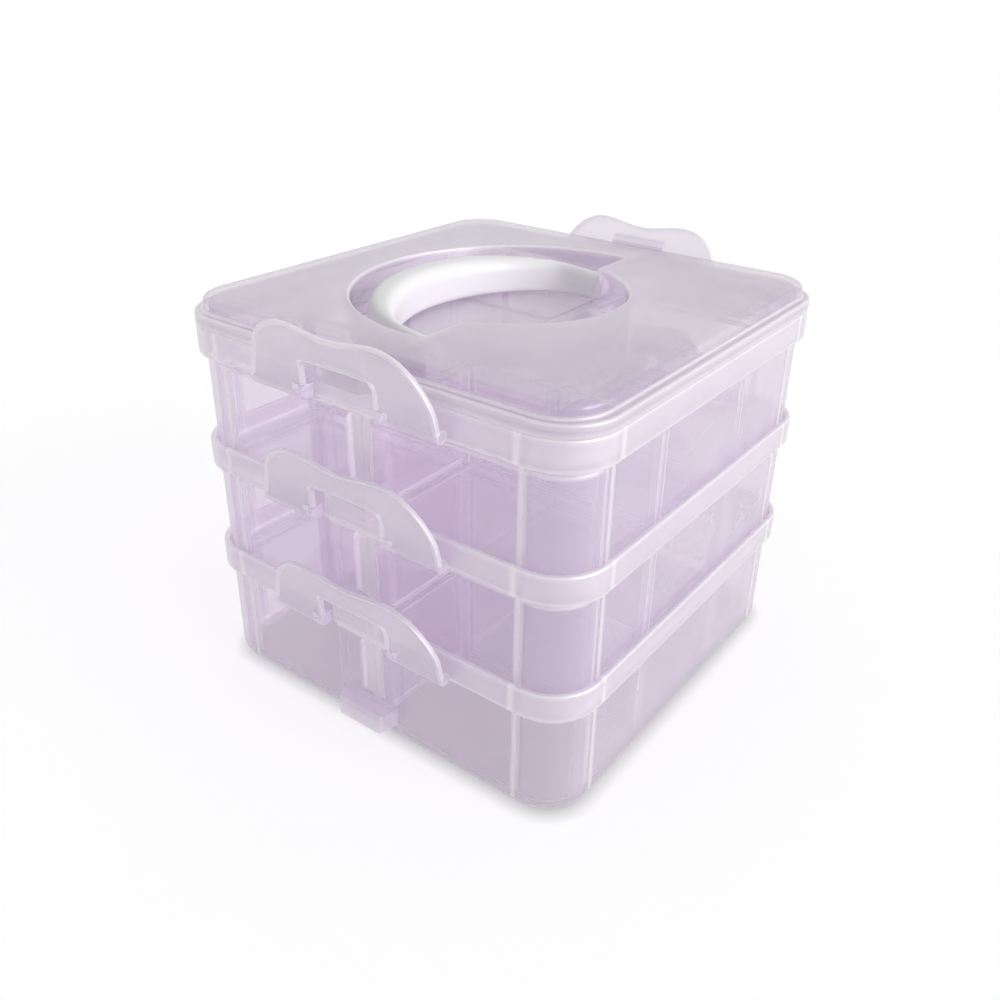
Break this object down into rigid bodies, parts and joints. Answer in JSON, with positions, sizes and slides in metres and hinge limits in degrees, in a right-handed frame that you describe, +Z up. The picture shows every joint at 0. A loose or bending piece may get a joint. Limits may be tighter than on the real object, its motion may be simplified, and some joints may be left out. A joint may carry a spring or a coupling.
{
  "type": "art supply box",
  "caption": "Clear stackable storage box of divided trays under a lid, held by swing latches and carried by a folding handle.",
  "frame": {"origin": "middle of the underside of the bottom tray, which the box stands on", "axes": "+Z up; the latches are on the -Y and +Y sides; the handle folds towards -X and its axis lies along Y"},
  "size_m": [0.15, 0.1672, 0.1372],
  "materials": {
    "tray": "clear lilac polypropylene, glossy",
    "lid": "clear lilac polypropylene, glossy",
    "latch": "clear lilac polypropylene, lightly frosted",
    "divider": "clear lilac polypropylene, glossy",
    "handle": "solid white polypropylene, glossy"
  },
  "bodies": {
    "tray_bottom": {"tray_bottom": "tray"},
    "tray_middle": {"tray_middle": "tray"},
    "tray_top": {"tray_top": "tray"},
    "lid": {"lid": "lid"},
    "handle": {"handle": "handle"},
    "latch_front_bottom": {"latch_front_bottom": "latch"},
    "latch_front_middle": {"latch_front_middle": "latch"},
    "latch_front_top": {"latch_front_top": "latch"},
    "latch_rear_bottom": {"latch_rear_bottom": "latch"},
    "latch_rear_middle": {"latch_rear_middle": "latch"},
    "latch_rear_top": {"latch_rear_top": "latch"},
    "divider_bottom_1": {"divider_bottom_1": "divider"},
    "divider_bottom_2": {"divider_bottom_2": "divider"},
    "divider_bottom_3": {"divider_bottom_3": "divider"},
    "divider_bottom_4": {"divider_bottom_4": "divider"},
    "divider_middle_1": {"divider_middle_1": "divider"},
    "divider_middle_2": {"divider_middle_2": "divider"},
    "divider_middle_3": {"divider_middle_3": "divider"},
    "divider_middle_4": {"divider_middle_4": "divider"},
    "divider_top_1": {"divider_top_1": "divider"},
    "divider_top_2": {"divider_top_2": "divider"},
    "divider_top_3": {"divider_top_3": "divider"},
    "divider_top_4": {"divider_top_4": "divider"}
  },
  "joints": [
    {"name": "middle_tray_lift", "type": "slide", "parent": "tray_bottom", "child": "tray_middle", "axis": [0, 0, 1], "range_m": [0, 0.024]},
    {"name": "top_tray_lift", "type": "slide", "parent": "tray_middle", "child": "tray_top", "axis": [0, 0, 1], "range_m": [0, 0.024]},
    {"name": "lid_lift", "type": "slide", "parent": "tray_top", "child": "lid", "axis": [0, 0, 1], "range_m": [0, 0.024]},
    {"name": "handle_swing", "type": "hinge", "parent": "lid", "child": "handle", "pos_m": [0.003, 0, 0.1221], "axis": [0, 1, 0], "range_deg": [0, 90]},
    {"name": "latch_front_bottom_turn", "type": "hinge", "parent": "tray_bottom", "child": "latch_front_bottom", "pos_m": [0, -0.0775, 0.0392], "axis": [1, 0, 0], "range_deg": [0, 132.1]},
    {"name": "latch_rear_bottom_turn", "type": "hinge", "parent": "tray_bottom", "child": "latch_rear_bottom", "pos_m": [0, 0.0775, 0.0392], "axis": [-1, 0, 0], "range_deg": [0, 132.1]},
    {"name": "latch_front_middle_turn", "type": "hinge", "parent": "tray_middle", "child": "latch_front_middle", "pos_m": [0, -0.0775, 0.0776], "axis": [1, 0, 0], "range_deg": [0, 132.1]},
    {"name": "latch_rear_middle_turn", "type": "hinge", "parent": "tray_middle", "child": "latch_rear_middle", "pos_m": [0, 0.0775, 0.0776], "axis": [-1, 0, 0], "range_deg": [0, 132.1]},
    {"name": "latch_front_top_turn", "type": "hinge", "parent": "tray_top", "child": "latch_front_top", "pos_m": [0, -0.0775, 0.116], "axis": [1, 0, 0], "range_deg": [0, 132.1]},
    {"name": "latch_rear_top_turn", "type": "hinge", "parent": "tray_top", "child": "latch_rear_top", "pos_m": [0, 0.0775, 0.116], "axis": [-1, 0, 0], "range_deg": [0, 132.1]},
    {"name": "divider_bottom_1_slide", "type": "slide", "parent": "tray_bottom", "child": "divider_bottom_1", "axis": [0, 0, 1], "range_m": [0, 0.024]},
    {"name": "divider_bottom_2_slide", "type": "slide", "parent": "tray_bottom", "child": "divider_bottom_2", "axis": [0, 0, 1], "range_m": [0, 0.024]},
    {"name": "divider_bottom_3_slide", "type": "slide", "parent": "tray_bottom", "child": "divider_bottom_3", "axis": [0, 0, 1], "range_m": [0, 0.024]},
    {"name": "divider_bottom_4_slide", "type": "slide", "parent": "tray_bottom", "child": "divider_bottom_4", "axis": [0, 0, 1], "range_m": [0, 0.024]},
    {"name": "divider_middle_1_slide", "type": "slide", "parent": "tray_middle", "child": "divider_middle_1", "axis": [0, 0, 1], "range_m": [0, 0.024]},
    {"name": "divider_middle_2_slide", "type": "slide", "parent": "tray_middle", "child": "divider_middle_2", "axis": [0, 0, 1], "range_m": [0, 0.024]},
    {"name": "divider_middle_3_slide", "type": "slide", "parent": "tray_middle", "child": "divider_middle_3", "axis": [0, 0, 1], "range_m": [0, 0.024]},
    {"name": "divider_middle_4_slide", "type": "slide", "parent": "tray_middle", "child": "divider_middle_4", "axis": [0, 0, 1], "range_m": [0, 0.024]},
    {"name": "divider_top_1_slide", "type": "slide", "parent": "tray_top", "child": "divider_top_1", "axis": [0, 0, 1], "range_m": [0, 0.024]},
    {"name": "divider_top_2_slide", "type": "slide", "parent": "tray_top", "child": "divider_top_2", "axis": [0, 0, 1], "range_m": [0, 0.024]},
    {"name": "divider_top_3_slide", "type": "slide", "parent": "tray_top", "child": "divider_top_3", "axis": [0, 0, 1], "range_m": [0, 0.024]},
    {"name": "divider_top_4_slide", "type": "slide", "parent": "tray_top", "child": "divider_top_4", "axis": [0, 0, 1], "range_m": [0, 0.024]}
  ],
  "couplings": [
    {"joint": "latch_front_bottom_turn", "follows": "middle_tray_lift", "rad_per_m": 96},
    {"joint": "latch_rear_bottom_turn", "follows": "middle_tray_lift", "rad_per_m": 96},
    {"joint": "latch_front_middle_turn", "follows": "top_tray_lift", "rad_per_m": 96},
    {"joint": "latch_rear_middle_turn", "follows": "top_tray_lift", "rad_per_m": 96},
    {"joint": "latch_front_top_turn", "follows": "lid_lift", "rad_per_m": 96},
    {"joint": "latch_rear_top_turn", "follows": "lid_lift", "rad_per_m": 96},
    {"joint": "divider_bottom_1_slide", "follows": "middle_tray_lift", "ratio": 1},
    {"joint": "divider_bottom_2_slide", "follows": "middle_tray_lift", "ratio": 1},
    {"joint": "divider_bottom_3_slide", "follows": "middle_tray_lift", "ratio": 1},
    {"joint": "divider_bottom_4_slide", "follows": "middle_tray_lift", "ratio": 1},
    {"joint": "divider_middle_1_slide", "follows": "top_tray_lift", "ratio": 1},
    {"joint": "divider_middle_2_slide", "follows": "top_tray_lift", "ratio": 1},
    {"joint": "divider_middle_3_slide", "follows": "top_tray_lift", "ratio": 1},
    {"joint": "divider_middle_4_slide", "follows": "top_tray_lift", "ratio": 1},
    {"joint": "divider_top_1_slide", "follows": "lid_lift", "ratio": 1},
    {"joint": "divider_top_2_slide", "follows": "lid_lift", "ratio": 1},
    {"joint": "divider_top_3_slide", "follows": "lid_lift", "ratio": 1},
    {"joint": "divider_top_4_slide", "follows": "lid_lift", "ratio": 1}
  ]
}
